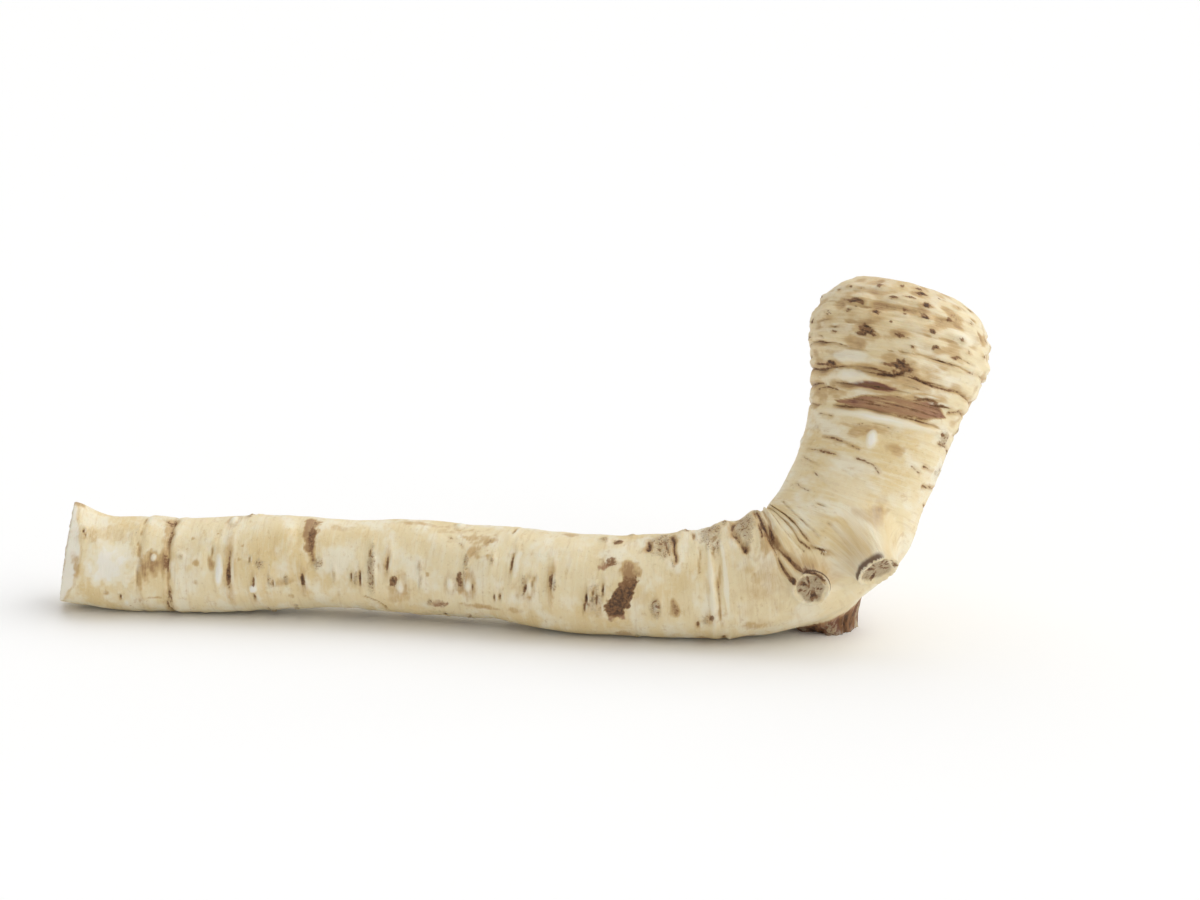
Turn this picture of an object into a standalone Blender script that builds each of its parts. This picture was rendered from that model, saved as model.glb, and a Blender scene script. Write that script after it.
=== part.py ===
"""A horseradish root, dug, topped and tailed. A long shank lies on the table, bends up at an elbow and
swells into a crown ringed with leaf scars. It grew as one piece, so it is one solid, in metres, +Z up,
resting on z = 0.

The skin is one sheet of faces wrapped round a bent middle line. A place on the skin is (along, around):
how many millimetres along the root from the tail cut, and how many degrees round it. Around is 0 on the
front (-Y), 90 on top of the shank, which runs on as the inner side of the bend, and -90 underneath.
"""

import math

import bmesh
import bpy
import numpy as np
from mathutils import Matrix, Vector, noise

MM = 0.001
NODE = "horseradish_root"

# Sections through the root from the tail cut to the crown's top, in millimetres and degrees: the middle
# of the section, how steeply the root rises there, how far it swings to the front (-) or back (+), and
# its radius
SECTIONS = [
    # x, y, z, rise, swing, radius
    (-168.5, 34.0, 18.6, -11, 10, 15.6),  # the tail cut, made aslant
    (-152.0, 34.5, 16.9, -4, 0, 16.8),
    (-129.0, 33.0, 16.6, 0, -5, 17.3),
    (-99.0, 29.5, 18.0, 2, -7, 16.9),
    (-67.0, 25.0, 18.9, 2, -8, 16.6),
    (-35.0, 19.5, 19.3, 0, -11, 16.7),
    (-9.0, 13.5, 19.1, -2, -13, 17.2),
    (12.0, 8.0, 18.4, -2, -12, 17.5),
    (34.0, 3.5, 17.9, 0, -9, 17.8),
    (55.0, 1.0, 18.4, 3, -4, 18.5),
    (72.5, 0.0, 20.8, 6, 0, 20.0),
    (87.4, 0.5, 24.1, 11, 0, 21.6),  # the elbow, whose sections fan out round its inner corner
    (99.8, 2.0, 28.4, 40, 0, 22.4),
    (109.0, 4.8, 36.1, 64, 0, 25.2),
    (118.2, 11.0, 53.1, 74, 0, 24.2),  # the neck
    (122.8, 15.0, 64.1, 77, 0, 25.1),
    (127.1, 20.0, 77.8, 78, 0, 26.9),
    (130.6, 23.9, 88.5, 78, 0, 30.3),
    (132.8, 27.9, 99.5, 78, 0, 32.0),  # the crown, at its widest
    (134.5, 30.9, 107.7, 77, 0, 29.9),
    (136.0, 33.4, 114.0, 76, 0, 25.0),
    (136.7, 34.9, 117.4, 75, 0, 19.4),  # the rim of the crown's cut top
]
LEAN = 20  # degrees that the bend's plane leans back
MIDDLE = (-3.5, 16.6)  # x and y in SECTIONS of the point on the table that becomes the origin

# How finely the skin is divided: faces round it, the rings' spacing in mm from each place on, and the
# rings on each cut face as shares of its radius
SIDES = 52
RING_STEPS = [(0, 4.2), (12, 6.4), (24, 4.2), (44, 7.0), (222, 3.2), (292, 4.0), (318, 1.9)]
TAIL_CAP = (0.93, 0.6, 0.25)
CROWN_CAP = (0.8, 0.55, 0.28)
FACE_GRAIN, FACE_RELIEF = 6.0, 1.6  # size and height of a cut face's roughness, in mm

# Broad, uneven growth: size and height of its bumps, in mm
LUMP_SIZE, LUMP_HEIGHT = 30.0, 1.1
KNOT_SIZE, KNOT_HEIGHT = 9.0, 0.5
MEAN_RADIUS = 20.0

# The skin flares to a lip at the tail cut
LIP_AROUND, LIP_WIDTH, LIP_LENGTH, LIP_HEIGHT = 88, 34, 10.0, 5.0

# Grooves right round the root: along, depth, half width in mm
SHANK_GROOVES = [(29.8, 0.6, 1.6), (41.2, 0.9, 1.6), (239.5, 0.5, 2.0)]
CROWN_GROOVES = [
    (329.0, 0.9, 1.4),
    (337.0, 0.9, 1.5),
    (343.5, 1.1, 1.5),
    (350.6, 1.0, 1.4),
    (358.5, 0.8, 1.6),
    (364.5, 0.8, 1.4),
    (369.8, 0.7, 1.2),
]
GROOVE_WANDER = 1.3  # mm that a groove wanders along the root

# The neck's skin folds over the shank's at the elbow: along, around, lengthwise and sideways reach, height
FOLD = (266.8, 68, 3.4, 62, 1.2)
FOLD_CREASE = (261.0, 68, 2.4, 58, -1.6)

# Corky wrinkles, slits and scars: along, around, half length in mm, half width in degrees, height in mm
SCARS = [
    (228.5, 72, 3.2, 20, 1.3),
    (243.0, 70, 3.6, 22, 1.5),
    (250.0, 72, 2.2, 22, -1.2),
    (254.5, 80, 2.6, 24, 1.2),
    (200.0, -8, 3.4, 24, -0.7),
    (89.0, 38, 2.4, 24, -0.8),
    (57.5, 4, 2.0, 14, -0.8),
    (117.0, -16, 2.6, 12, 0.8),
    (160.0, 150, 4.0, 26, -0.8),
    (112.0, 200, 3.4, 22, 0.9),
    (290.0, 190, 4.5, 20, -0.9),
    (300.0, 130, 4.0, 18, 0.8),
]

# Dormant buds stand in rows between the leaf scars
BUD_ROWS = [(340.2, 9), (347.0, 9), (354.6, 11), (361.5, 12), (367.2, 10)]  # along, buds in the row
BUD_SIZE, BUD_HEIGHT = 3.0, 0.9
BUD_SHIFT = 137.5  # degrees from one row to the next, as leaves are set on a stem

# Side roots cut off short: where on the skin they leave the root, the way they point, radius, and how
# far they stand out of the skin
STUBS = [
    (268.5, -25, (0.22, -0.92, -0.32), 5.0, 2.4),  # a round scar on the front of the elbow
    (282.0, -41, (0.56, -0.60, -0.57), 8.3, 6.6),  # a thicker one at the outer side of the bend
    (270.6, 228, (0.20, -0.12, -0.97), 7.8, 12.5),  # under the elbow, where it bears on the table
    (252.0, 198, (-0.10, 0.66, -0.74), 7.0, 14.0),  # behind the elbow, the third foot
    (104.0, 168, (-0.25, 0.92, 0.30), 3.8, 3.0),  # thin ones on the back of the shank and the neck
    (305.0, 196, (0.35, 0.92, -0.12), 4.6, 3.2),
]
# How the skin is drawn out into a stub, in shares of the stub's radius: the skin up to STUB_END from its
# axis becomes the stub's end, and from there to STUB_EDGE its flank
STUB_END, STUB_EDGE = 1.3, 2.2
STUB_DEPTH = 26.0  # skin that lies deeper than this below a stub's foot is the root's far side, and stays
STUB_HOLLOW = 0.16  # how deep the end is hollowed
STUB_LUMP, STUB_GRAIN = 1.4, 5.0  # height and size of a stub's lumps, in mm

SKIN_COLOUR = (0.80, 0.69, 0.48, 1)


def along_of_sections():
    """How far along the root each section lies."""
    middles = np.array(SECTIONS, float)[:, :3]
    return np.concatenate([[0], np.cumsum(np.linalg.norm(np.diff(middles, axis=0), axis=1))])


def smooth_curve(knots, values, at):
    """Values at places between the knots, on a curve that runs smoothly through them all."""
    slopes = np.gradient(values, knots, axis=0)
    k = np.clip(np.searchsorted(knots, at, side="right") - 1, 0, len(knots) - 2)
    gap = knots[k + 1] - knots[k]
    t = (at - knots[k]) / gap
    rise = (2 * t - 3) * t * t
    return (
        values[k] * (1 + rise)
        - values[k + 1] * rise
        + gap * t * (1 - t) * (slopes[k] * (1 - t) - slopes[k + 1] * t)
    )


KNOTS = along_of_sections()
LENGTH = KNOTS[-1]


def section(along):
    """The frame of the section there, as a matrix whose +X runs along the root, and its radius."""
    x, y, z, rise, swing, radius = smooth_curve(KNOTS, np.array(SECTIONS, float), along)
    turn = (
        Matrix.Rotation(math.radians(swing), 4, "Z")
        @ Matrix.Rotation(math.radians(-LEAN), 4, "X")
        @ Matrix.Rotation(math.radians(-rise), 4, "Y")
    )
    return Matrix.Translation((x - MIDDLE[0], y - MIDDLE[1], z)) @ turn, radius


def angle_between(a, b):
    """Degrees from b to a, the short way round."""
    return (a - b + 180) % 360 - 180


def hump(distance):
    """1 in the middle, falling smoothly to 0 at a distance of about 2."""
    return math.exp(-distance * distance)


def round_noise(along, around, size, seed):
    """Noise that closes on itself round the root, with bumps of about this many millimetres."""
    turn = math.radians(around)
    spot = Vector((along, MEAN_RADIUS * math.cos(turn), MEAN_RADIUS * math.sin(turn))) / size
    return noise.noise(spot + Vector((seed, seed, seed)))


def grooves(along, around):
    """The rings that old leaves left on the crown, and the few on the shank."""
    height = 0.0
    for number, (place, depth, width) in enumerate(SHANK_GROOVES + CROWN_GROOVES):
        wander = GROOVE_WANDER * round_noise(place, around, 16.0, 7.0 + number)
        height -= depth * hump((along - place - wander) / width)
    return height


def buds(along, around, radius):
    """Knobs in rows between the leaf scars, each with a pit in its middle."""
    height = 0.0
    for row, (place, count) in enumerate(BUD_ROWS):
        if abs(along - place) > 2 * BUD_SIZE:
            continue
        for number in range(count):
            middle = row * BUD_SHIFT + number * 360 / count
            sideways = math.radians(angle_between(around, middle)) * radius
            off = math.hypot(along - place, sideways * 0.75) / BUD_SIZE
            height += BUD_HEIGHT * (hump(off) - 0.5 * hump(off / 0.45))
    return height


def patch(along, around, place, middle, reach, spread, height):
    """A low swelling or hollow at one place."""
    return height * hump((along - place) / reach) * hump(angle_between(around, middle) / spread)


def relief(along, around, radius):
    """How far the skin stands out from the plain round section, in millimetres."""
    height = LUMP_HEIGHT * round_noise(along, around, LUMP_SIZE, 3.1)
    height += KNOT_HEIGHT * round_noise(along, around, KNOT_SIZE, 11.7)
    height += grooves(along, around)
    height += buds(along, around, radius)
    for scar in [FOLD, FOLD_CREASE] + SCARS:
        height += patch(along, around, *scar)
    lip = hump(along / LIP_LENGTH) * hump(angle_between(around, LIP_AROUND) / LIP_WIDTH)
    return height + LIP_HEIGHT * lip


def rings():
    """Each ring as (along, share of the radius): the cut tail's face, the root, the cut top's face."""
    places = [0.0]
    while places[-1] < LENGTH:
        step = [size for start, size in RING_STEPS if start <= places[-1]][-1]
        places.append(places[-1] + step)
    stretch = LENGTH / places[-1]
    tail = [(0.0, share) for share in reversed(TAIL_CAP)]
    crown = [(LENGTH, share) for share in CROWN_CAP]
    return tail + [(place * stretch, 1.0) for place in places] + crown


def plain_point(along, share, around):
    """The skin's point there, without side roots. On a cut face, share is how far out from its middle."""
    frame, radius = section(along)
    turn = math.radians(around)
    out = radius + relief(along, around, radius)
    across = Vector((0, -out * share * math.cos(turn), out * share * math.sin(turn)))
    across.x = FACE_RELIEF * (1 - share) * noise.noise(across / FACE_GRAIN + Vector((along, 0, 0)))
    return frame @ across


def drawn_out(point, foot, toward, radius, height):
    """How far a point of the plain skin moves where one stub is drawn out of it."""
    axis = Vector(toward).normalized()
    level = (point - foot).dot(axis)
    across = point - foot - axis * level
    distance = across.length / radius
    if distance > STUB_EDGE or level < -STUB_DEPTH:
        return Vector((0, 0, 0))
    down = max(0.0, (distance - STUB_END) / (STUB_EDGE - STUB_END))
    if down:
        squeeze = (1 + (STUB_EDGE - 1) * down**1.5) / distance
    else:
        squeeze = 1 / STUB_END
    hollow = STUB_HOLLOW * radius * hump(1.6 * distance / STUB_END)
    lump = STUB_LUMP * noise.noise((point - foot) / STUB_GRAIN + foot)
    share = (1 - down) ** 1.7
    return axis * share * (height - hollow + lump - level) + across * (squeeze - 1)


def skin_point(along, share, around, feet):
    """The point of the skin there, once the stubs are drawn out of it."""
    point = plain_point(along, share, around)
    moves = [drawn_out(point, foot, *stub[2:]) for foot, stub in zip(feet, STUBS)]
    return point + sum(moves, Vector((0, 0, 0)))


def wrapped_skin():
    """One sheet of faces, wrapped round the root and closed at both ends."""
    ring_list = rings()
    feet = [plain_point(along, 1, around) for along, around, *_ in STUBS]
    skin = bmesh.new()
    bmesh.ops.create_grid(skin, x_segments=SIDES, y_segments=len(ring_list) - 1, size=0.5)
    for vertex in skin.verts:
        ring = round((vertex.co.y + 0.5) * (len(ring_list) - 1))
        along, share = ring_list[ring]
        vertex.co = skin_point(along, share, vertex.co.x * 360, feet) * MM
    bmesh.ops.remove_doubles(skin, verts=skin.verts, dist=0.01 * MM)
    bmesh.ops.holes_fill(skin, edges=skin.edges, sides=0)
    bmesh.ops.recalc_face_normals(skin, faces=skin.faces)
    return skin


def object_from(shape, name, collection):
    """Turns a bmesh into an object in a collection."""
    mesh = bpy.data.meshes.new(name)
    shape.to_mesh(mesh)
    shape.free()
    made = bpy.data.objects.new(name, mesh)
    collection.objects.link(made)
    return made


def flatten_underside(root):
    """Presses the low points flat where the root bears on the table."""
    shape = bmesh.new()
    shape.from_mesh(root.data)
    bmesh.ops.bisect_plane(
        shape,
        geom=shape.verts[:] + shape.edges[:] + shape.faces[:],
        dist=0.001 * MM,
        plane_co=(0, 0, 0),
        plane_no=(0, 0, -1),
        clear_outer=True,
    )
    bmesh.ops.holes_fill(shape, edges=shape.edges, sides=0)
    shape.to_mesh(root.data)
    shape.free()


def skin_material():
    """Creamy, faintly waxy skin."""
    material = bpy.data.materials.new("root_skin")
    material.use_nodes = True
    shader = material.node_tree.nodes["Principled BSDF"]
    shader.inputs["Base Color"].default_value = SKIN_COLOUR
    shader.inputs["Roughness"].default_value = 0.6
    shader.inputs["Metallic"].default_value = 0.0
    return material


for leftover in list(bpy.data.objects):
    bpy.data.objects.remove(leftover)
horseradish = object_from(wrapped_skin(), NODE, bpy.context.scene.collection)
flatten_underside(horseradish)
horseradish.data.materials.clear()
horseradish.data.materials.append(skin_material())
horseradish.data.shade_smooth()
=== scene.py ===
"""Dresses the horseradish root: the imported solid's own shape, with its fine skin, marks and colours."""

import math

import bmesh
import bpy
import numpy as np
from mathutils import Matrix, Vector, noise


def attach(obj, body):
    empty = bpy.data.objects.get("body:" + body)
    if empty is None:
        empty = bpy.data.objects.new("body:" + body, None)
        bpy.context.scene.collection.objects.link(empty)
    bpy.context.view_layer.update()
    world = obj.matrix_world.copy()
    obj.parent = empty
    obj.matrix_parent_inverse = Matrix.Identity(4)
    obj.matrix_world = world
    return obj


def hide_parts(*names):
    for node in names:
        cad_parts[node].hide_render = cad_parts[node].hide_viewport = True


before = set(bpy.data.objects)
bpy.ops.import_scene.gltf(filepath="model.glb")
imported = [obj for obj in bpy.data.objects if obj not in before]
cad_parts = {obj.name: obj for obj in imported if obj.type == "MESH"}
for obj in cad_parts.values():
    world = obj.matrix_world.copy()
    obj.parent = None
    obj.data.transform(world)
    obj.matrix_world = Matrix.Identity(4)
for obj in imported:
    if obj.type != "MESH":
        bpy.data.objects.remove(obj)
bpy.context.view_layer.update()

# The camera stands a metre in front of the root, a little above it, and looks along +Y.
LOOK_AT = Vector((0.0300, -0.0066, 0.0658))
CAMERA_RISE = math.radians(15)
camera_data = bpy.data.cameras.new("camera")
camera_data.lens = 85
camera_data.sensor_width = 36
camera = bpy.data.objects.new("camera", camera_data)
camera.location = LOOK_AT + Vector((0, -math.cos(CAMERA_RISE), math.sin(CAMERA_RISE)))
camera.rotation_euler = (math.radians(90) - CAMERA_RISE, 0, 0)
bpy.context.scene.collection.objects.link(camera)
bpy.context.scene.camera = camera
bpy.context.scene.view_settings.view_transform = "Standard"

# The floor is a sheet of matt white card, wide enough to fill every view.
floor_shape = bmesh.new()
bmesh.ops.create_grid(floor_shape, x_segments=1, y_segments=1, size=6)
floor_mesh = bpy.data.meshes.new("floor")
floor_shape.to_mesh(floor_mesh)
floor_shape.free()
floor = bpy.data.objects.new("floor", floor_mesh)
bpy.context.scene.collection.objects.link(floor)
card = bpy.data.materials.new("white_card")
card.use_nodes = True
card_shader = card.node_tree.nodes["Principled BSDF"]
card_shader.inputs["Base Color"].default_value = (0.955, 0.955, 0.955, 1)
card_shader.inputs["Roughness"].default_value = 0.9
card_shader.inputs["Specular IOR Level"].default_value = 0.1
floor_mesh.materials.append(card)

# Soft white light: an even white surround, a broad light above and behind that draws the shadow to the
# front, and a second one high on the right that models the neck and the crown.
world = bpy.data.worlds.new("studio")
world.use_nodes = True
world.node_tree.nodes["Background"].inputs["Color"].default_value = (1.0, 1.0, 1.0, 1)
world.node_tree.nodes["Background"].inputs["Strength"].default_value = 0.55
bpy.context.scene.world = world
LIGHTS = [
    # name, where it comes from, degrees across, strength, colour
    ("overhead_light", (0.05, 0.45, 0.90), 70, 0.82, (1.0, 1.0, 0.995)),
    ("right_light", (0.84, -0.12, 0.53), 80, 1.62, (1.0, 0.995, 0.98)),
]
for light_name, light_from, light_width, light_strength, light_colour in LIGHTS:
    light_data = bpy.data.lights.new(light_name, "SUN")
    light_data.angle = math.radians(light_width)
    light_data.energy = light_strength
    light_data.color = light_colour
    light = bpy.data.objects.new(light_name, light_data)
    light.rotation_euler = Vector(light_from).to_track_quat("Z", "Y").to_euler()
    bpy.context.scene.collection.objects.link(light)

# The root itself: a shank that lies on the floor, an elbow, a neck and a crown, all one piece of firm
# pale flesh under a thin skin. It is one sheet of faces wrapped round the root's bent middle line. A place
# on the skin is (along, around): millimetres from the tail cut, and degrees round, 0 in front, 90 on top.
SECTIONS = np.array([
    # x, y, z of the middle, rise, swing to the front (-) or back (+), radius: millimetres and degrees
    (-168.5, 34.0, 18.6, -11, 10, 15.6),  # the tail cut, made aslant
    (-152.0, 34.5, 16.9, -4, 0, 16.8),
    (-129.0, 33.0, 16.6, 0, -5, 17.3),
    (-99.0, 29.5, 18.0, 2, -7, 16.9),
    (-67.0, 25.0, 18.9, 2, -8, 16.6),
    (-35.0, 19.5, 19.3, 0, -11, 16.7),
    (-9.0, 13.5, 19.1, -2, -13, 17.2),
    (12.0, 8.0, 18.4, -2, -12, 17.5),
    (34.0, 3.5, 17.9, 0, -9, 17.8),
    (55.0, 1.0, 18.4, 3, -4, 18.5),
    (72.5, 0.0, 20.8, 6, 0, 20.0),
    (87.4, 0.5, 24.1, 11, 0, 21.6),  # the elbow, whose sections fan out round its inner corner
    (99.8, 2.0, 28.4, 40, 0, 22.4),
    (109.0, 4.8, 36.1, 64, 0, 25.2),
    (118.2, 11.0, 53.1, 74, 0, 24.2),  # the neck
    (122.8, 15.0, 64.1, 77, 0, 25.1),
    (127.1, 20.0, 77.8, 78, 0, 26.9),
    (130.6, 23.9, 88.5, 78, 0, 30.3),
    (132.8, 27.9, 99.5, 78, 0, 32.0),  # the crown, at its widest
    (134.5, 30.9, 107.7, 77, 0, 29.9),
    (136.0, 33.4, 114.0, 76, 0, 25.0),
    (136.7, 34.9, 117.4, 75, 0, 19.4),  # the rim of the crown's cut top
])
LEAN = 20  # degrees that every section is tipped over, away from the front
MIDDLE = (-3.5, 16.6)  # x and y of the footprint's middle, which the frame has at 0
MEAN_RADIUS = 20.0  # the root's usual radius, on which noise and patterns are laid out
SIDES = 140
FRONT_SHARE = 0.34  # how much closer the faces stand on the front than on the back
# Each ring stands this far from the last, from this place along the root on: closest at the elbow and crown
RING_STEPS = [(0, 0.68), (212, 0.56), (258, 0.42), (292, 0.58), (324, 0.42)]
CUT_SHARES = np.linspace(0.97, 0.02, 15)  # the rings that close each cut face, as shares of its radius
knots = np.concatenate([[0], np.cumsum(np.linalg.norm(np.diff(SECTIONS[:, :3], axis=0), axis=1))])
LENGTH = knots[-1]


def smooth_curve(at):
    """The row of SECTIONS at places along the root, on a curve that runs smoothly through them all."""
    slopes = np.gradient(SECTIONS, knots, axis=0)
    k = np.clip(np.searchsorted(knots, at, side="right") - 1, 0, len(knots) - 2)
    gap = (knots[k + 1] - knots[k])[:, None]
    t = (at - knots[k])[:, None] / gap
    rise = (2 * t - 3) * t * t
    return (
        SECTIONS[k] * (1 + rise)
        - SECTIONS[k + 1] * rise
        + gap * t * (1 - t) * (slopes[k] * (1 - t) - slopes[k + 1] * t)
    )


places = [0.0]
while places[-1] < LENGTH:
    places.append(places[-1] + [step for start, step in RING_STEPS if start <= places[-1]][-1])
places = np.array(places) * LENGTH / places[-1]
ring_along = np.concatenate([np.zeros(len(CUT_SHARES)), places, np.full(len(CUT_SHARES), LENGTH)])
ring_share = np.concatenate([CUT_SHARES[::-1], np.ones(len(places)), CUT_SHARES])
RINGS = len(ring_along)
ring_rows = smooth_curve(ring_along)
along = np.repeat(ring_along[:, None], SIDES + 1, axis=1)
share = np.repeat(ring_share[:, None], SIDES + 1, axis=1)
radius = np.repeat(ring_rows[:, 5:6], SIDES + 1, axis=1)
turn = np.linspace(-math.pi, math.pi, SIDES + 1)
turn = np.repeat((turn - FRONT_SHARE * np.sin(turn))[None], RINGS, axis=0)
around = np.degrees(turn)


def hump(distance):
    """1 in the middle, falling smoothly to 0 at a distance of about 2."""
    return np.exp(-distance * distance)


def smooth_step(low, high, value):
    """0 below low, 1 above high, and a smooth rise between."""
    t = np.clip((value - low) / (high - low), 0, 1)
    return t * t * (3 - 2 * t)


def degrees_from(middle):
    """Degrees round the root from a place, the short way."""
    return (around - middle + 180) % 360 - 180


def noise_at(spots):
    """Smooth noise at a grid of places in space."""
    values = [noise.noise(spot) for spot in spots.reshape(-1, 3).tolist()]
    return np.array(values).reshape(spots.shape[:-1])


def growth(size_along, size_around, seed):
    """Noise that closes on itself round the root, with bumps of these sizes in millimetres."""
    spots = np.stack(
        [
            along / size_along,
            MEAN_RADIUS * share * np.cos(turn) / size_around,
            MEAN_RADIUS * share * np.sin(turn) / size_around,
        ],
        axis=-1,
    )
    return noise_at(spots + seed)


# Broad, uneven growth, the lip at the tail cut, the fold at the elbow and the corky wrinkles, as in the
# solid
GROOVES = [
    # along, depth, half width, colour
    (30.0, 0.5, 1.2, 0.30),
    (41.0, 0.9, 1.3, 0.60),
    (239.5, 0.4, 2.0, 0.0),
    (329.4, 0.9, 0.9, 0.75),
    (337.0, 0.8, 1.0, 0.80),
    (342.6, 1.1, 1.1, 0.80),
    (350.2, 0.7, 0.6, 0.70),
    (358.5, 0.45, 1.4, 0.20),
    (364.5, 0.40, 1.3, 0.15),
    (369.8, 0.35, 1.1, 0.15),
]
SWELLINGS = [
    # along, around, half length, half width in degrees, height
    (266.8, 68, 3.4, 62, 1.2),
    (261.0, 68, 2.4, 58, -1.6),
    (228.5, 72, 3.2, 20, 1.3),
    (243.0, 70, 3.6, 22, 1.5),
    (250.0, 72, 2.2, 22, -1.2),
    (254.5, 80, 2.6, 24, 1.2),
    (200.0, -8, 3.4, 24, -0.7),
    (89.0, 38, 2.4, 24, -0.8),
    (57.5, 4, 2.0, 14, -0.8),
    (117.0, -16, 2.6, 12, 0.8),
    (160.0, 150, 4.0, 26, -0.8),
    (112.0, 200, 3.4, 22, 0.9),
    (290.0, 190, 4.5, 20, -0.9),
    (300.0, 130, 4.0, 18, 0.8),
]
fine = growth(1.2, 1.5, 41.0)
ragged = growth(3.0, 4.5, 53.0)
patchy = np.clip(0.8 + 1.3 * growth(2.6, 6.0, 83.0), 0.1, 1.25)
drift = 0.8 * growth(6.0, 7.0, 91.0)
side_drift = 0.9 * growth(7.0, 6.0, 97.0)
MARK_KINDS = ("stain_and_shade", "cork", "pale", "wine", "crumbly", "flesh", "wood", "fold_shade")
marks = {kind: np.zeros_like(along) for kind in MARK_KINDS}


def lay(kind, amount):
    """Paints a mark over what is there."""
    marks[kind][:] = np.maximum(marks[kind], amount)


# The crown's right side, where the light falls: its grooves are shallower there, and its grooves and stains
# are painted paler there as painted light
lit_right_side = smooth_step(12, 45, -degrees_from(0)) * (degrees_from(0) > -125) * (along > 300)
height = 1.1 * growth(30.0, 30.0, 3.1) + 0.5 * growth(9.0, 9.0, 11.7)
height += 5.0 * hump(along / 10.0) * hump(degrees_from(88) / 34)
for place, middle, reach, spread, rise in SWELLINGS:
    height += rise * hump((along - place) / reach) * hump(degrees_from(middle) / spread)
for number, (place, depth, width, colour) in enumerate(GROOVES):
    wander = 1.8 * growth(1e6, 15.0, 7.0 + number) + 0.5 * ragged
    strength = np.clip(0.75 + 1.5 * growth(1e6, 7.0, 31.0 + number), 0.1, 1.4)
    off = along - place - wander
    sunk = 0.45 * hump(off / width) + 0.7 * hump(off / (0.35 * width))
    height -= (1 - 0.3 * lit_right_side) * depth * strength * sunk
    height += 0.35 * depth * hump((off - 2.0 * width) / (1.2 * width))
    # Painted light: the grooves' brown and tan are painted paler on the crown's lit right side
    colour = colour * (1 - 0.55 * lit_right_side)
    lay("cork", colour * strength * patchy * hump(off / (0.42 * width)))
    lay("stain_and_shade", 1.1 * colour * strength * hump((off + 0.5) / (1.9 * width)))

# The tail was cut aslant, so a sliver of its pale flesh shows from the front
cut_edge = 6.6 * hump(degrees_from(0) / 68) - 0.6 + 0.8 * ragged
height -= 0.22 * np.clip(cut_edge - along, 0, 8)
lay("flesh", 0.75 * smooth_step(-0.9, 0.9, cut_edge - along))
lay("stain_and_shade", 0.45 * hump((along - cut_edge - 0.3) / 0.9))

# The skin is a little yellower before the elbow
lay("stain_and_shade", (0.33 + 0.3 * ragged) * hump((along - 256) / 24) * hump(degrees_from(-10) / 70))

# Fine wrinkles run round the root, closest on the crown, whose top is knobby, with dark pits in the hollows
# between the knobs. The crown's tan is partly its own colour and partly painted shade: more over its top
# and in those hollows, less on its lit right side
crowned = smooth_step(324, 334, along)
topped = smooth_step(351, 358, along)
knobby = growth(3.6, 4.8, 73.0)
height += (0.05 + 0.10 * crowned) * growth(1.5, 14.0, 61.0)
height += (0.03 + 0.06 * crowned) * growth(0.8, 6.0, 67.0)
height += crowned * (0.2 * growth(2.6, 5.0, 71.0) + (0.3 + 0.6 * topped) * knobby)
# Partly its own tan and partly painted shade: more tan over the crown's top and in the hollows between the
# knobs, less on the lit right side
lay("stain_and_shade", crowned * (0.29 + 0.10 * topped - 0.2 * lit_right_side + 0.5 * smooth_step(0.05, 0.45, -knobby)))
lay("cork", 0.3 * topped * smooth_step(0.3, 0.6, -knobby))


def oval(place, middle, half_length, half_width, tilt=0.0, rough=0.25):
    """Distance over the skin from a place, in shares of an oval's half sizes, with a ragged edge."""
    side = np.radians(degrees_from(middle)) * radius + 0.6 * side_drift
    step = along - place + 0.6 * drift
    lean = math.radians(tilt)
    length = (step * math.cos(lean) + side * math.sin(lean)) / half_length
    width = (side * math.cos(lean) - step * math.sin(lean)) / half_width
    return np.hypot(length, width) + rough * (ragged + 0.6 * fine)


def trail(points):
    """Distance in millimetres over the skin from a crooked line through (along, around) points."""
    nearest = np.full(along.shape, 1e3)
    for (a0, t0), (a1, t1) in zip(points, points[1:]):
        side = np.radians(degrees_from(t0)) * radius + side_drift
        run_side = np.radians((t1 - t0 + 180) % 360 - 180) * radius
        run = a1 - a0
        step = along - a0 + drift
        t = np.clip((step * run + side * run_side) / (run * run + run_side * run_side + 1e-9), 0, 1)
        nearest = np.minimum(nearest, np.hypot(step - t * run, side - t * run_side))
    return nearest + 0.3 * (ragged + 0.5 * fine)


def slit(place, middle, length=0.8, width=3.4, dark=0.9, tilt=0.0):
    """A short split in the skin that lies round the root, dark inside, with a pale lip and a tan halo."""
    off = oval(place, middle, length, width, tilt)
    height[:] += 0.3 * hump((off - 1.9) / 0.8) - 0.7 * hump(1.1 * off)
    lay("cork", dark * (0.4 + 0.6 * patchy) * hump(off / 0.9))
    lay("stain_and_shade", 0.6 * dark * hump(off / 2.6))
    lay("pale", 0.6 * hump(oval(place + 1.8 * length, middle, length, width, tilt)))


def crumbs(place, middle, length=1.5, width=3.0, dark=0.7, rise=0.35):
    """A rough crumbly scar: pale grains with dark cracks between them."""
    inside = hump(oval(place, middle, length, width, 0.0, 0.45) / 1.1)
    height[:] += inside * (rise + 0.9 * fine)
    lay("crumbly", 1.25 * dark * inside)
    lay("stain_and_shade", 0.55 * inside)


def lens_scar(place, middle, length=1.5, width=3.2, dark=0.8):
    """A healed oval breathing scar: a pale raised middle, split from the skin at its two sides."""
    off = oval(place, middle, length, width, 0.0, 0.2)
    height[:] += 0.5 * hump(off / 0.9) - 0.35 * hump((off - 1.3) / 0.3)
    lay("pale", 0.9 * hump(off / 0.8))
    lay("stain_and_shade", 0.65 * dark * hump((off - 1.4) / 1.0))
    for side, turned, long, wide, strength in ((-1.15, 2, 0.3, 0.7, 1.0), (1.15, -1, 0.25, 0.6, 0.8)):
        split = oval(place + side * length, middle + turned, long * length, wide * width)
        lay("cork", strength * dark * patchy * hump(split))


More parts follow.
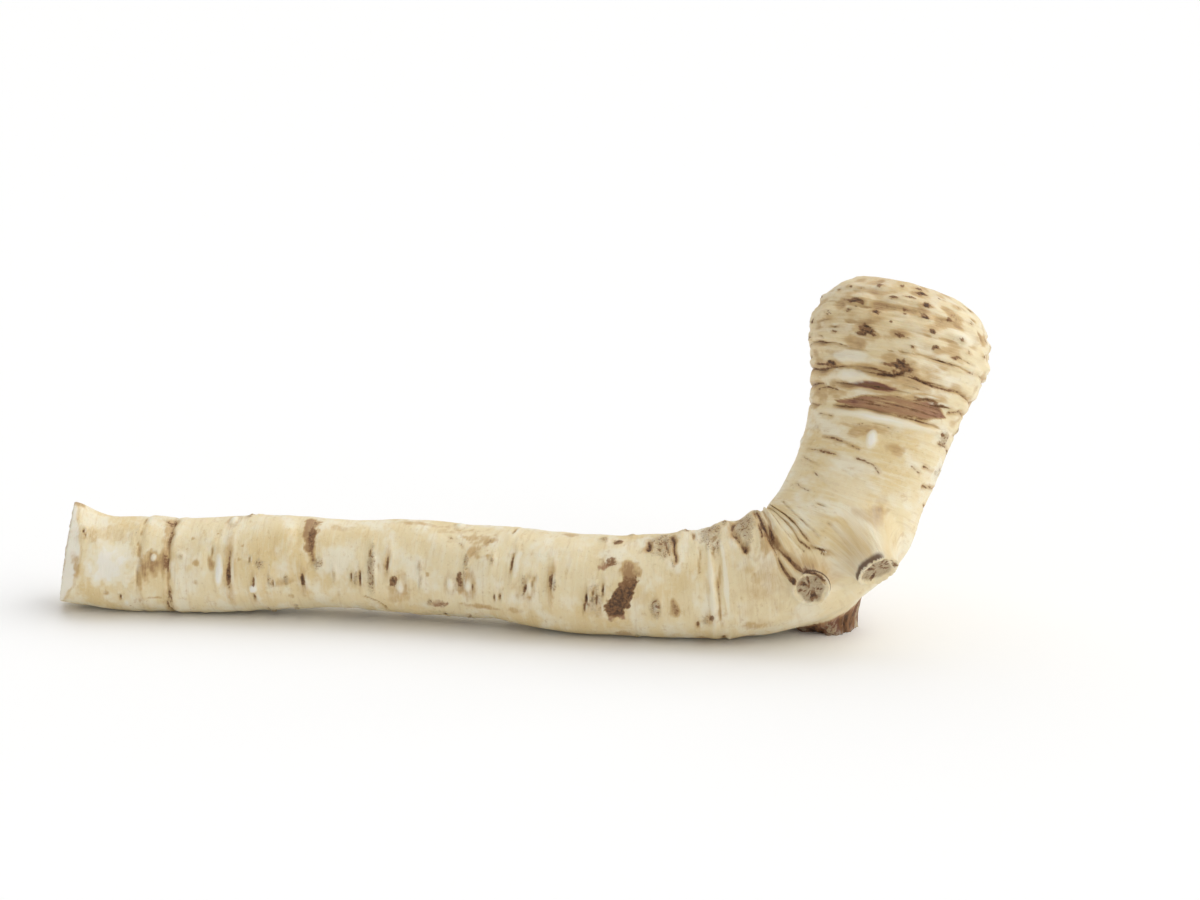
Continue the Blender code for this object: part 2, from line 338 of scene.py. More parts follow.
def smudge(place, middle, length, width, strength=0.6, kind="stain_and_shade", tilt=0.0, rough=0.6, edge=0.7):
    """A flat stain with a ragged, soft edge."""
    off = oval(place, middle, length, width, tilt, rough)
    lay(kind, strength * (1 - smooth_step(1 - edge, 1 + edge, off)))
    if kind == "cork":
        lay("stain_and_shade", 0.9 * strength * (1 - smooth_step(1 - edge, 1.3 + edge, off)))


def bud(place, middle, length, width, dark=1.0):
    """A dormant bud: a dark pit with ragged rays and a stain, a large one with a pale crumbly heart."""
    angle = np.arctan2(np.radians(degrees_from(middle)) * radius, along - place)
    rays = 0.24 * min(1.0, length / 1.7) * np.sin(7 * angle + 3 * place + 2 * ragged)
    off = oval(place + 0.9 * fine, middle + 5 * ragged, length, width, 0.0, 0.4) * (1 + rays) + 0.3 * fine
    heart = min(1.0, length / 1.7) ** 2 * hump(off / 0.42)
    height[:] += 0.3 * length * (hump((off - 1.7) / 0.8) - 1.3 * hump(off / 0.95)) + 0.5 * heart
    lay("cork", 1.15 * dark * (0.6 + 0.5 * patchy) * hump((off - 0.2) / 0.75))
    marks["cork"][:] = marks["cork"] * (1 - 0.7 * heart)
    lay("crumbly", heart)
    halo = oval(place - 0.3 * length, middle, 1.6 * length, 2.4 * width, 0.0, 0.6)
    lay("stain_and_shade", 0.8 * dark * hump(halo / 1.2))
    split = oval(place - 0.2 * length, middle, 0.35 * length, 2.4 * width, 0.0, 0.4)
    lay("cork", 0.6 * dark * patchy * hump(split))


def crease(points, depth=0.8, width=0.8, dark=0.8, halo=2.6):
    """A dark crease in the skin along a crooked line."""
    off = trail(points)
    height[:] += 0.3 * depth * hump((off - 2.4 * width) / (1.1 * width)) - depth * hump(off / width)
    lay("cork", dark * patchy * hump(off / (0.75 * width)))
    lay("stain_and_shade", 0.95 * dark * (0.4 + 0.6 * patchy) * hump(off / (halo * width)))


# The tail: a dirty lip, two dark nicks, a glassy pale patch and small bruises
smudge(1.0, 86, 3.6, 4.0, 1.0)
smudge(15, 34, 16.0, 5.0, 0.40)
slit(6, 36, 0.5, 0.9, 1.0)
slit(7, 31, 0.4, 1.4, 0.9)
smudge(18, -6, 9.0, 8.0, 0.9, "pale")
smudge(5, -12, 1.8, 4.4, 0.8, tilt=12)
for place, middle, size, dark in [
    (22, -8, 1.1, 0.6), (18, -44, 1.2, 0.8), (12, -20, 0.9, 0.5), (27, -20, 0.9, 0.5),
]:
    smudge(place, middle, size, size, dark)
slit(23, -48, 0.5, 1.0, 0.9)
smudge(26, -65, 0.6, 0.6, 1.0, "wine")
smudge(25, -58, 1.0, 2.0, 0.9, "pale")

# The collar between the two wavy creases, with its brown stain and its pale knob
crease([(28, 40), (30, 12), (31, 0), (30, -8), (30, -28), (29, -42)], 0.3, 0.5, 0.30, 3.2)
crease(
    [(37, 66), (40, 60), (42, 36), (41, 18), (41.5, 3), (41, -12), (42, -30), (42, -66)],
    0.3, 0.6, 0.55, 2.6,
)
smudge(35.5, -3, 4.4, 4.0, 1.0)
smudge(33.0, -9, 1.8, 4.4, 1.0)
smudge(39.6, 2, 1.4, 6.0, 1.0)
smudge(40.4, 0, 0.7, 5.0, 0.55, "cork")
smudge(39.8, 46, 1.5, 6.0, 0.8)
smudge(31.2, -24, 1.0, 7.0, 0.7)
lens_scar(36, 5, 1.2, 1.3, 0.35)
smudge(36, -47, 3.0, 0.6, 0.7)

# The shank's splits, scars, crumbs and bruises, from the tail to the elbow
crumbs(46, 6, 1.0, 1.4, 0.7)
for place, middle, size, dark in [
    (50, 30, 0.8, 0.7), (52, -1, 1.2, 0.8), (52, -25, 1.1, 0.6), (59, 36, 0.5, 0.9), (69, 18, 0.5, 0.8),
    (48, 16, 0.5, 0.6), (54, 38, 0.4, 0.7), (86, -48, 1.2, 0.5), (138, -11, 0.8, 0.7), (68, 2, 0.7, 0.7),
]:
    smudge(place, middle, size, size, dark, edge=0.5)
slit(58, 14, 0.5, 1.8, 0.5)
smudge(60.6, -12, 1.4, 5.4, 1.0, "pale", rough=0.2, edge=0.4)
height += 0.8 * hump(oval(60.6, -12, 1.5, 5.2))
slit(64.2, -12, 0.8, 6.4, 1.25)
smudge(66.2, -8, 1.2, 4.0, 0.6)
crumbs(76, -4, 1.5, 2.0, 0.9)
slit(72, 2, 0.5, 1.2, 0.7)
slit(73, -24, 0.6, 2.6, 0.9)
slit(73, -46, 0.7, 2.4, 0.8)
smudge(73, -34, 1.5, 1.5, 1.0, "pale", rough=0.25, edge=0.3)
height += 0.7 * hump(oval(73, -34, 1.3, 1.4))
crumbs(79, -24, 0.8, 2.8, 0.7)
slit(80, -26, 0.4, 2.0, 0.6)
crumbs(85, -25, 0.9, 2.2, 0.8)
slit(91, -25, 0.7, 2.9, 1.2)
smudge(84, -27, 6.0, 1.4, 0.55)
smudge(93.2, 52, 2.7, 5.4, 1.2, edge=0.4)
smudge(94, 28, 1.9, 7.5, 1.2, edge=0.4)
smudge(94.4, 30, 1.2, 8.0, 0.75, "cork", edge=0.5)
smudge(95, 8, 0.9, 3.2, 1.1)
height -= 0.6 * hump(oval(94, 32, 1.9, 10.0))
crumbs(96.4, -3, 1.1, 1.8, 0.8)
crumbs(98.2, 0, 1.0, 2.4, 0.8)
smudge(103, 50, 4.0, 2.0, 0.5)
crumbs(103, -14, 0.8, 3.0, 0.4)
crumbs(111, -20, 0.9, 3.2, 0.7)
slit(112.6, -20, 0.5, 3.0, 0.9)
slit(109.4, -18, 0.4, 1.8, 0.6)
crumbs(117, -6, 1.3, 8.2, 1.0)
slit(116.4, 14, 0.5, 2.2, 0.8)
slit(117.6, -22, 0.5, 2.4, 0.6)
slit(123, 0, 0.7, 3.0, 1.1)
lens_scar(128, -30, 1.3, 3.0, 0.8)
smudge(125.6, -22, 1.2, 1.7, 0.9, "cork")
smudge(127, -36, 4.5, 4.0, 0.6)
crumbs(135, -2, 1.0, 3.0, 0.6)
crumbs(135.6, -20, 1.0, 3.0, 0.5)
smudge(141.6, -53, 3.6, 2.8, 0.9, "wine", rough=0.7)
smudge(143.5, -54, 1.6, 1.4, 0.4, "cork", rough=0.9)
crumbs(138.6, -50, 1.4, 2.0, 0.7)
crease([(114, -44), (118, -50), (121, -62), (121, -72)], 0.5, 0.4, 0.5)
lens_scar(147, -21, 1.4, 2.8, 0.6)
smudge(150.4, -15, 0.8, 2.4, 0.75, "cork", rough=0.9)
slit(151.6, -18, 0.4, 2.4, 0.8)
smudge(150.4, -24, 1.6, 3.6, 0.8)
lens_scar(154, -21, 1.4, 3.0, 1.0)
crumbs(152.5, 9, 0.9, 3.0, 0.8)
crumbs(152.5, -6, 0.7, 2.4, 0.5)
smudge(154, 20, 2.4, 2.4, 0.7, rough=0.9)
crease([(140, 51), (147, 36), (154, 18), (158, 32), (161, 46)], 0.15, 0.5, 0.45, 3.0)
smudge(155, 40, 5.6, 5.5, 0.65, rough=1.3)
smudge(146, 54, 6.0, 2.0, 0.5, rough=1.0)
smudge(133, 65, 10.0, 1.8, 0.6, rough=0.9)
crumbs(162, 12, 0.9, 2.8, 0.5)
slit(169.4, 12, 0.5, 5.4, 0.75)
smudge(171, 12, 0.9, 4.6, 0.8, "pale")
crumbs(174.6, -8, 0.9, 2.0, 0.7)
lens_scar(176.4, -14, 1.0, 2.8, 0.7)
slit(174.6, -17, 0.5, 3.2, 0.7, tilt=-14)
smudge(174, -20, 3.6, 3.5, 0.55)
slit(177.6, -10, 0.5, 1.8, 0.8)
slit(166, -30, 0.5, 1.8, 0.7)
slit(163.6, -32, 0.5, 1.8, 0.6)
smudge(158, -49, 6.4, 1.6, 0.75)
smudge(172, -46, 3.0, 1.6, 0.6)
slit(178.4, -3, 0.5, 1.6, 0.7)
slit(184, -6, 0.6, 3.8, 1.25)
crumbs(185.4, -8, 0.7, 2.6, 0.7)
crease([(176, 24), (184, 31), (192, 31), (200, 22), (204, 10)], 0.1, 0.6, 0.22, 4.0)
crumbs(200, 63, 1.3, 2.0, 0.9)
smudge(205, 57, 1.4, 1.8, 0.8, "cork")
smudge(203.6, 24, 2.4, 2.2, 0.7, "cork", rough=0.7)
smudge(202.4, 21, 2.4, 2.4, 1.1, "wine", rough=0.8)
for place, middle in [
    (196.5, -20), (197.6, -27), (198.8, -14), (200.2, -22), (202.0, -8), (201.0, -32), (195.6, -30),
]:
    slit(place, middle, 0.4, 2.2, 1.0)
crumbs(199.4, -20, 2.4, 6.0, 0.55)
smudge(210.5, 16, 2.6, 3.6, 1.2)

# The large corky patch: a slanting oval, olive and tan at its top and near black lower down
patch_middle = np.interp(around, [-46, -29, -14, -2, 12], [205.0, 206.4, 208.2, 209.8, 211.2])
patch_half = np.interp(around, [-46, -40, -29, -16, -4, 6, 15], [0.8, 2.8, 4.0, 3.6, 3.5, 2.6, 1.0])
across_patch = (along + 0.5 * drift - patch_middle) / patch_half
patch = np.abs(across_patch) + 0.35 * ragged + 0.3 * fine
in_patch = 1 - smooth_step(0.8, 1.1, patch)
in_patch = in_patch * smooth_step(-46, -42, around) * smooth_step(15, 10, around)
lay("stain_and_shade", 1.3 * in_patch)
lay("crumbly", 0.6 * in_patch * smooth_step(8, -8, around))
patch_dark = np.interp(around, [-44, -26, -8, 6, 14], [0.85, 0.95, 0.82, 0.42, 0.1])
patch_edge_dark = np.interp(around, [-44, -20, 2, 10], [0.95, 0.9, 0.95, 0.3])
lay("cork", in_patch * patch_dark)
lay("cork", in_patch * smooth_step(0.1, 0.8, across_patch) * patch_edge_dark)
lay("cork", 1.0 * in_patch * hump(oval(206.4, -34, 3.0, 1.6)))
height -= in_patch * (0.4 + 0.8 * fine)
smudge(206.0, -38, 2.8, 2.6, 1.8, "wine", rough=0.8)
crumbs(219, -28, 1.8, 3.2, 1.0, 0.5)
lens_scar(219, -28, 1.0, 2.2, 0.7)
smudge(225, -26, 1.3, 3.4, 1.1)
smudge(225.2, -25, 0.9, 2.6, 0.42, "cork", rough=0.9)
slit(232, -50, 0.7, 1.8, 0.8)
slit(236.5, -40, 0.9, 1.8, 1.2)
crumbs(235, -42, 1.4, 2.6, 0.8)

# A pale ridge rings the shank before the elbow, with corky wrinkles on top of it and beyond
crease([(240.8, 48), (240.4, 20), (239.6, -20), (238.8, -46)], 0.2, 0.45, 0.42, 2.8)
smudge(242.0, 0, 0.7, 14.0, 0.7, "pale", rough=0.3)
height += 0.8 * hump((along - 237.6 - 0.6 * ragged) / 1.1) * hump(degrees_from(-10) / 80)
lay("pale", 0.7 * hump((along - 237.4 - 0.6 * ragged) / 0.9) * hump(degrees_from(-10) / 60))
for place, middle, length, width, dark, rise in [
    (221.5, 55, 4.6, 8.0, 0.75, 0.4), (238.6, 64, 4.0, 8.6, 0.8, 0.5), (251.2, 58, 3.2, 9.0, 0.95, 1.1),
    (244.4, 76, 1.6, 4.0, 0.8, 0.3), (257.0, 74, 1.6, 5.0, 0.9, 0.4), (229.5, 78, 2.4, 3.0, 0.7, 0.3),
]:
    crumbs(place, middle, length, width, dark, rise)
crease([(216.4, 58), (216.8, 50), (216.2, 44)], 0.5, 0.7, 1.1)
crease([(224.8, 66), (225.4, 54), (225.4, 42), (226.4, 26)], 0.6, 0.5, 1.0)
crease([(222.0, 60), (222.6, 48), (223.4, 36)], 0.4, 0.4, 0.8)
crease([(219.4, 66), (219.6, 54), (220.4, 42)], 0.3, 0.4, 0.7)
crease([(233.8, 42), (234.4, 26), (234.0, 10)], 0.2, 0.4, 0.5)
crease([(224.4, 30), (225.4, 20)], 0.2, 0.4, 0.45)
crease([(247.2, 74), (246.6, 60), (247.0, 48), (248.2, 36), (249.8, 24)], 1.0, 0.8, 1.15, 2.4)
crease([(249.8, 24), (250.4, 15)], 0.3, 0.4, 0.45, 2.6)
crease([(255.4, 78), (255.6, 62), (256.2, 48), (256.8, 34)], 0.8, 0.6, 0.9)
crease([(258.6, 34), (260.0, 20), (261.2, 6), (262.2, -8)], 0.6, 0.6, 0.85, 2.6)
smudge(262.4, -9, 0.9, 1.1, 1.1, "cork", edge=0.4)
smudge(258, -12, 4.4, 6.0, 0.45, "wine", rough=0.8)
smudge(254.5, 4, 4.4, 4.4, 0.45, "wine", rough=0.8)
smudge(258, -8, 5.0, 8.0, 0.45, rough=0.8)
smudge(251, -58, 4.0, 2.4, 0.7)
smudge(247, -88, 4.0, 2.0, 0.7)
smudge(258, 30, 2.4, 7.0, 0.7)

# The neck's skin folds over the shank's at the elbow, and streaks run out from the inner corner
crease(
    [(257, 70), (258, 48), (260.4, 26), (263.0, 12), (265.6, 3), (269.0, 0), (272, -6), (273.4, -20)],
    1.4, 1.0, 1.1, 2.6,
)
smudge(262, 26, 1.8, 8.0, 1.2)
smudge(262, 40, 1.4, 5.0, 0.8, "wine")
smudge(261.4, 34, 0.8, 4.0, 0.9, "cork")
smudge(256, -6, 6.0, 7.0, 0.5, rough=1.0)
crumbs(258.4, 50, 1.2, 6.0, 0.9, 0.3)
crease([(283, 78), (280, 52), (278, 40), (276, 19), (275, 4)], 0.6, 0.6, 0.75, 2.2)
crease([(289, 60), (283, 40), (280.5, 22), (279.4, 10)], 0.35, 0.5, 0.5, 2.6)
crease([(277, 75), (275, 44), (273, 17), (274, 6)], 0.5, 0.5, 0.7, 2.4)
crease([(270, 60), (269.6, 36), (270.4, 18), (271.6, 6)], 0.3, 0.5, 0.4, 2.8)
slit(276, 1, 0.5, 3.0, 1.2, tilt=24)
slit(275.8, -4, 0.4, 1.4, 0.9, tilt=24)
crease([(286, 9), (285, 1), (283.6, -5)], 0.3, 0.5, 0.6, 2.8)
smudge(296.6, -16, 1.2, 5.5, 0.95, tilt=16)
slit(292, 24, 0.4, 1.8, 0.6)

# The neck: fine brown wrinkles, a white blister under a brown arc, and corky specks at its outer side
for points, dark in [
    ([(318, 50), (317, 37), (316, 24), (315.2, 14)], 0.9),
    ([(312, 66), (312, 46), (311, 28)], 0.8),
    ([(312, 13), (311, -3), (309, -10)], 0.85),
    ([(325.6, 62), (325.6, 46)], 0.7),
    ([(303, 44), (301, 30)], 0.5),
    ([(308.5, 70), (307.6, 52), (306.0, 40)], 0.6),
    ([(298, 58), (296, 40)], 0.5),
    ([(307, 20), (305, 8)], 0.5),
    ([(322, 74), (321, 60)], 0.5),
    ([(292, -30), (291, -40)], 0.5),
    ([(314, -34), (312.5, -46)], 0.5),
]:
    crease(points, 0.22, 0.38, 0.8 * dark, 3.2)
crease([(322, 26), (324, 21), (325, 11), (325, -1), (323.6, -12)], 0.2, 0.4, 0.5, 3.2)
smudge(323.0, 8, 2.0, 8.0, 0.8, rough=0.7)
smudge(302, 8, 13.0, 17.0, 0.34, "pale", rough=0.8)
smudge(323.6, 12, 1.0, 6.0, 0.7, "wine", rough=0.6)
smudge(318, -15, 2.0, 3.4, 0.8, rough=0.7)
smudge(321, 19, 2.2, 3.4, 0.8, rough=0.7)
smudge(319.8, 6, 3.2, 1.7, 0.95, "pale", rough=0.2, edge=0.5)
height += 0.8 * hump(oval(319.8, 6, 2.7, 2.0))
crumbs(326, -58, 2.6, 2.4, 1.0)
slit(327.4, -54, 0.6, 1.4, 0.9)
crumbs(331, -80, 1.8, 1.8, 1.0)
smudge(308, 10, 3.4, 6.0, 0.3)
smudge(300, -20, 3.0, 2.4, 0.5, rough=0.8)
smudge(291, -12, 3.0, 3.0, 0.25, rough=0.8)

# The crown: a red-brown lens, a dark red streak, dark creases between the leaf scars, and dormant buds
lens_middle = np.interp(
    around,
    [-48, -38, -28, -19, -11, 2, 13, 22, 32, 44],
    [333, 333.7, 333.9, 333.2, 332.4, 332, 331.6, 331.4, 331, 330.8],
)
lens_half = np.interp(
    around,
    [-50, -38, -28, -19, -11, 2, 13, 22, 32, 45],
    [0.1, 2.2, 3.6, 3.8, 3.4, 3.0, 2.6, 2.2, 1.2, 0.1],
)
lens = np.abs(along + 0.3 * drift - lens_middle) / lens_half + 0.3 * ragged
in_lens = (1 - smooth_step(0.75, 1.05, lens)) * (np.abs(degrees_from(-2)) < 48)
lay("wine", in_lens * (0.8 + 0.5 * smooth_step(0, 40, np.abs(degrees_from(-4)))))
lay("stain_and_shade", 1.1 - 1.1 * smooth_step(0.9, 1.4, lens))
lay("cork", 0.75 * in_lens * smooth_step(0.12, 0.40, growth(0.8, 9.0, 113.0)))
lay("cork", 0.7 * patchy * hump((lens - 0.95) / 0.10) * (lens_half > 0.3))
height -= 0.25 * in_lens
for place, middle in [(336.6, -19), (337.4, -27), (335.8, -33), (336.2, -41)]:
    slit(place, middle, 0.4, 3.6, 0.9, tilt=4)
smudge(340.2, -6, 2.6, 10.0, 0.7, rough=0.8)
smudge(346, -16, 3.0, 9.0, 0.5, rough=0.9)
smudge(337.6, 16, 1.1, 6.0, 2.2, "wine", rough=0.5, edge=0.5)
smudge(337.6, 8, 0.7, 4.0, 1.6, "wine", rough=0.5)
smudge(337.4, 17, 0.4, 4.0, 0.8, "cork", rough=0.5)
smudge(333.6, 50, 2.0, 6.0, 0.7, rough=0.8)
# Painted highlight: a pale band along the low bulge at the neck's top edge, below the lens
lay("pale", 0.9 * hump((along - 327.0 - 0.5 * ragged) / 1.4) * hump(degrees_from(6) / 50))
height += 0.6 * hump((along - 327.4 - 0.5 * ragged) / 1.2) * hump(degrees_from(6) / 70)
smudge(340.2, 36, 1.8, 8.0, 0.8, "pale", rough=0.6)
smudge(346.4, 34, 1.8, 9.0, 0.7, "pale", rough=0.6)
smudge(347.0, 46, 1.0, 6.0, 0.7, rough=0.9)
crease([(342.2, 30), (342, 16), (342.4, 4), (344, -2)], 0.9, 0.8, 1.25, 2.4)
crease([(343, -8), (341.4, -24), (342.6, -50)], 0.5, 0.5, 0.9, 2.6)
crease([(343.6, 84), (343, 66), (343.0, 50)], 0.4, 0.5, 0.8, 2.6)
crease([(350.6, -22), (350.4, -38), (349.6, -62)], 0.4, 0.4, 0.55, 3.0)
crease([(355.0, -28), (353.6, -40), (352.0, -54)], 0.2, 0.4, 0.35, 3.0)
crease([(339.6, -2), (338.6, -20)], 0.3, 0.4, 0.5, 2.6)
crease([(334.6, 70), (335.4, 58), (334.6, 44)], 0.3, 0.4, 0.7, 2.6)
crease([(346.6, -18), (346.0, -34)], 0.2, 0.4, 0.35, 2.6)
HAND_BUDS = [
    # along, around, half length, half width, darkness
    (356.4, 27, 1.9, 2.0, 1.2), (345.8, 1, 2.1, 2.4, 1.35), (366, 41, 1.2, 2.2, 1.2),
    (343.8, 51, 1.1, 1.4, 1.0), (356, 4, 0.8, 1.5, 1.1), (363, 24, 0.9, 1.2, 1.0),
    (365, 7, 0.9, 1.2, 0.9), (362, 43, 0.9, 1.3, 0.8), (371, 53, 0.6, 1.0, 0.8),
    (371, 42, 0.6, 1.2, 0.9), (373, 29, 0.6, 1.6, 0.9), (369, 14, 0.7, 1.6, 0.9),
    (375, -2, 0.6, 1.2, 0.9), (373, -4, 0.7, 1.4, 1.1), (369, -9, 0.8, 1.5, 1.1),
    (365, -9, 0.8, 1.5, 1.0), (372, -38, 0.8, 1.0, 0.8), (366, -27, 0.9, 1.0, 0.8),
    (374, -64, 0.7, 1.0, 0.8), (373, -23, 0.6, 1.0, 0.7), (364, -70, 0.8, 1.0, 0.7),
    (360, -35, 0.8, 1.2, 0.7), (356.5, -44, 0.7, 1.0, 0.6), (360, -14, 0.7, 1.6, 0.8),
    (370.4, 3, 0.6, 1.2, 0.8), (361, 62, 0.7, 1.0, 0.7), (352.6, 64, 0.6, 1.2, 0.6),
    (357, -62, 0.8, 1.0, 0.7), (367.6, -48, 0.8, 1.0, 0.7), (369.4, 66, 0.7, 1.0, 0.7),
    (359.6, 12, 0.6, 1.0, 0.6), (374.6, 12, 0.5, 1.0, 0.7),
]
slit(356, 51, 0.5, 2.2, 1.2)
draw = np.random.default_rng(61)
knobs = [spot[:2] for spot in HAND_BUDS]
KNOB_GAP = 7.4
for row, place in enumerate((353.8, 358.6, 363.2, 367.4, 371.2, 374.6)):
    girth = 2 * math.pi * np.interp(place, ring_along, ring_rows[:, 5])
    for middle in np.arange(-180 + 9 * (row % 2), 180, 360 / round(girth / KNOB_GAP)):
        knob_place, knob_middle = place + draw.uniform(-1, 1), middle + draw.uniform(-4, 4)
        apart = [
            math.hypot(a - knob_place, 0.5 * ((m - knob_middle + 180) % 360 - 180))
            for a, m in knobs
        ]
        if min(apart) < 5:
            continue
        knobs.append((knob_place, knob_middle))
        height += 0.7 * hump(oval(knob_place, knob_middle, 1.7, 2.6))
        size = draw.uniform(0.5, 1.0) * (1.6 if abs(knob_middle) > 85 and draw.uniform() < 0.3 else 1)
        bud(knob_place, knob_middle, size, 1.4 * size, draw.uniform(0.35, 0.9))
for place, middle, length, width, dark in HAND_BUDS:
    height += 0.45 * hump(oval(place, middle, 1.0 + length, 1.6 + width))
    bud(place, middle, length, width, dark)

crumbs(315.6, -74, 3.0, 3.4, 0.5, 0.2)
smudge(315.6, -70, 3.4, 3.4, 0.7, "pale", rough=0.9)

# The sides that the picture doesn't show have the same marks, scattered
for number in range(70):
    place, middle = draw.uniform(46, 250), draw.uniform(62, 300)
    kind = draw.integers(5)
    size = draw.uniform(0.7, 1.3)
    if kind < 2:
        slit(place, middle, 0.6 * size, 3.0 * size, draw.uniform(0.5, 1.1))
    elif kind == 2:
        lens_scar(place, middle, 1.2 * size, 2.8 * size, draw.uniform(0.5, 0.9))
    elif kind == 3:
        crumbs(place, middle, 1.2 * size, 2.8 * size, 0.8)
    else:
        smudge(place, middle, 2.6 * size, 2.4 * size, 0.7, rough=0.8)
for number in range(24):
    place, middle = draw.uniform(288, 324), draw.uniform(95, 300)
    if number % 3:
        crease([(place, middle - 14), (place + draw.uniform(-1.5, 1.5), middle + 14)], 0.25, 0.4, 0.7, 3.0)
    else:
        crumbs(place, middle, 1.3, 2.4, 0.8)
for number in range(16):
    place, middle = draw.uniform(334, 352), draw.uniform(70, 300)
    bends = [(place, middle - 13)]
    for side in (0, 13):
        bends.append((place + draw.uniform(-1, 1), middle + side))
    crease(bends, 0.4, 0.5, 0.8)
for place, middle, length, width, kind in [
    (190, 150, 3.4, 7.0, "cork"), (128, 230, 3.0, 5.0, "cork"), (332.5, 170, 2.6, 18.0, "wine"),
    (78, 110, 2.6, 6.0, "cork"), (332, 235, 2.0, 12.0, "wine"), (222, 180, 2.4, 5.0, "cork"),
]:
    smudge(place, middle, length, width, 1.0, kind, rough=0.7, edge=0.4)

# Painted shade: the skin is tinted tan and brown in its hollows, where it lies below its smoothed level
level = height
for shift in (1, 2, 3):
    level = (level + np.roll(level, shift, 0) + np.roll(level, -shift, 0)) / 3
    turned = level[:, :-1]
    level[:, :-1] = (turned + np.roll(turned, shift, 1) + np.roll(turned, -shift, 1)) / 3
    level[:, -1] = level[:, 0]
lay("stain_and_shade", 0.9 * smooth_step(0.08, 0.5, level - height) * (share == 1))

# The cut faces show pale flesh with a ring under the skin
under_skin = smooth_step(0.78, 0.84, share) * (1 - smooth_step(0.86, 0.92, share))
for kind in marks:
    marks[kind] *= smooth_step(0.92, 1.0, share)
lay("flesh", 1 - smooth_step(0.95, 1.0, share))
ray_spots = np.stack([3.2 * np.cos(turn), 3.2 * np.sin(turn), 0.4 * share + 0.1 * along], axis=-1)
rays = noise_at(4.0 * ray_spots)
ray_dark = 0.45 * smooth_step(0.0, 0.4, rays) * smooth_step(0.1, 0.5, share)
on_cut = smooth_step(1.0, 0.96, share)
lay("stain_and_shade", on_cut * (0.75 * under_skin + ray_dark))
lay("stain_and_shade", 0.9 * hump((share - 0.98) / 0.02) * (share < 1))
lay("stain_and_shade", on_cut * (along > 200) * (0.85 * hump(share / 0.45) * smooth_step(-0.3, 0.3, ragged)))

# The sheet is bent round the middle line, its cut faces a little uneven
frames = np.array([
    Matrix.Rotation(math.radians(swing), 3, "Z")
    @ Matrix.Rotation(math.radians(-LEAN), 3, "X")
    @ Matrix.Rotation(math.radians(-rise), 3, "Y")
    for *_, rise, swing, _ in ring_rows
])
middles = ring_rows[:, :3] - (*MIDDLE, 0)
out = (radius + height) * share
across = np.stack([np.zeros_like(out), -out * np.cos(turn), out * np.sin(turn)], axis=-1)
face_noise = noise_at(across / 6.0 + np.stack([along, 0 * along, 0 * along], axis=-1))
across[..., 0] = 1.6 * (1 - share) * face_noise + marks["flesh"] * (0.25 * fine - 0.3 * under_skin)
points = np.einsum("rij,rsj->rsi", frames, across) + middles[:, None]

# Where the skin is pinched in the elbow's inner corner, its rings are eased apart
EASINGS = 14
pinched = (0.9 * hump((along - 266) / 7) * hump(degrees_from(88) / 50))[..., None]
for number in range(EASINGS):
    eased = sum(np.roll(points, step, 0) for step in (2, -2, 1, -1)) / 4
    points = points * (1 - pinched) + eased * pinched

# Side roots that were cut off short: the skin is drawn out into each stub, whose end is rough inside a
# pale rim. The ones that the root stands on are brown and craggy all over.
STUBS = [
    # along, around, the way it points, radius, height, cragginess, reach, side of the fold over it, where
    # shade is painted dark
    (267.8, -24, (0.06, -0.96, -0.16), 6.6, 2.6, 0.0, 1.8, (0.6, 0, 0.8)),
    (283.0, -36, (0.36, -0.72, -0.58), 7.8, 6.2, 0.0, 1.8, (-0.75, 0, 0.66)),
    (270.6, 228, (0.20, -0.12, -0.97), 7.8, 12.5, 1.0, 2.2, (0, 0, 0)),
    (252.0, 198, (-0.10, 0.66, -0.74), 7.0, 14.0, 0.7, 2.2, (0, 0, 0)),
    (104.0, 168, (-0.25, 0.92, 0.30), 3.8, 3.0, 0.1, 2.2, (0, 0, 1)),
    (305.0, 196, (0.35, 0.92, -0.12), 4.6, 3.2, 0.1, 2.2, (0, 0, 1)),
]
STUB_END = 1.3  # radii of skin round the middle that become the stub's cut end
STUB_DEPTH = 26.0  # millimetres below the stub, past which the root's far side is left alone
moved = np.zeros_like(points)
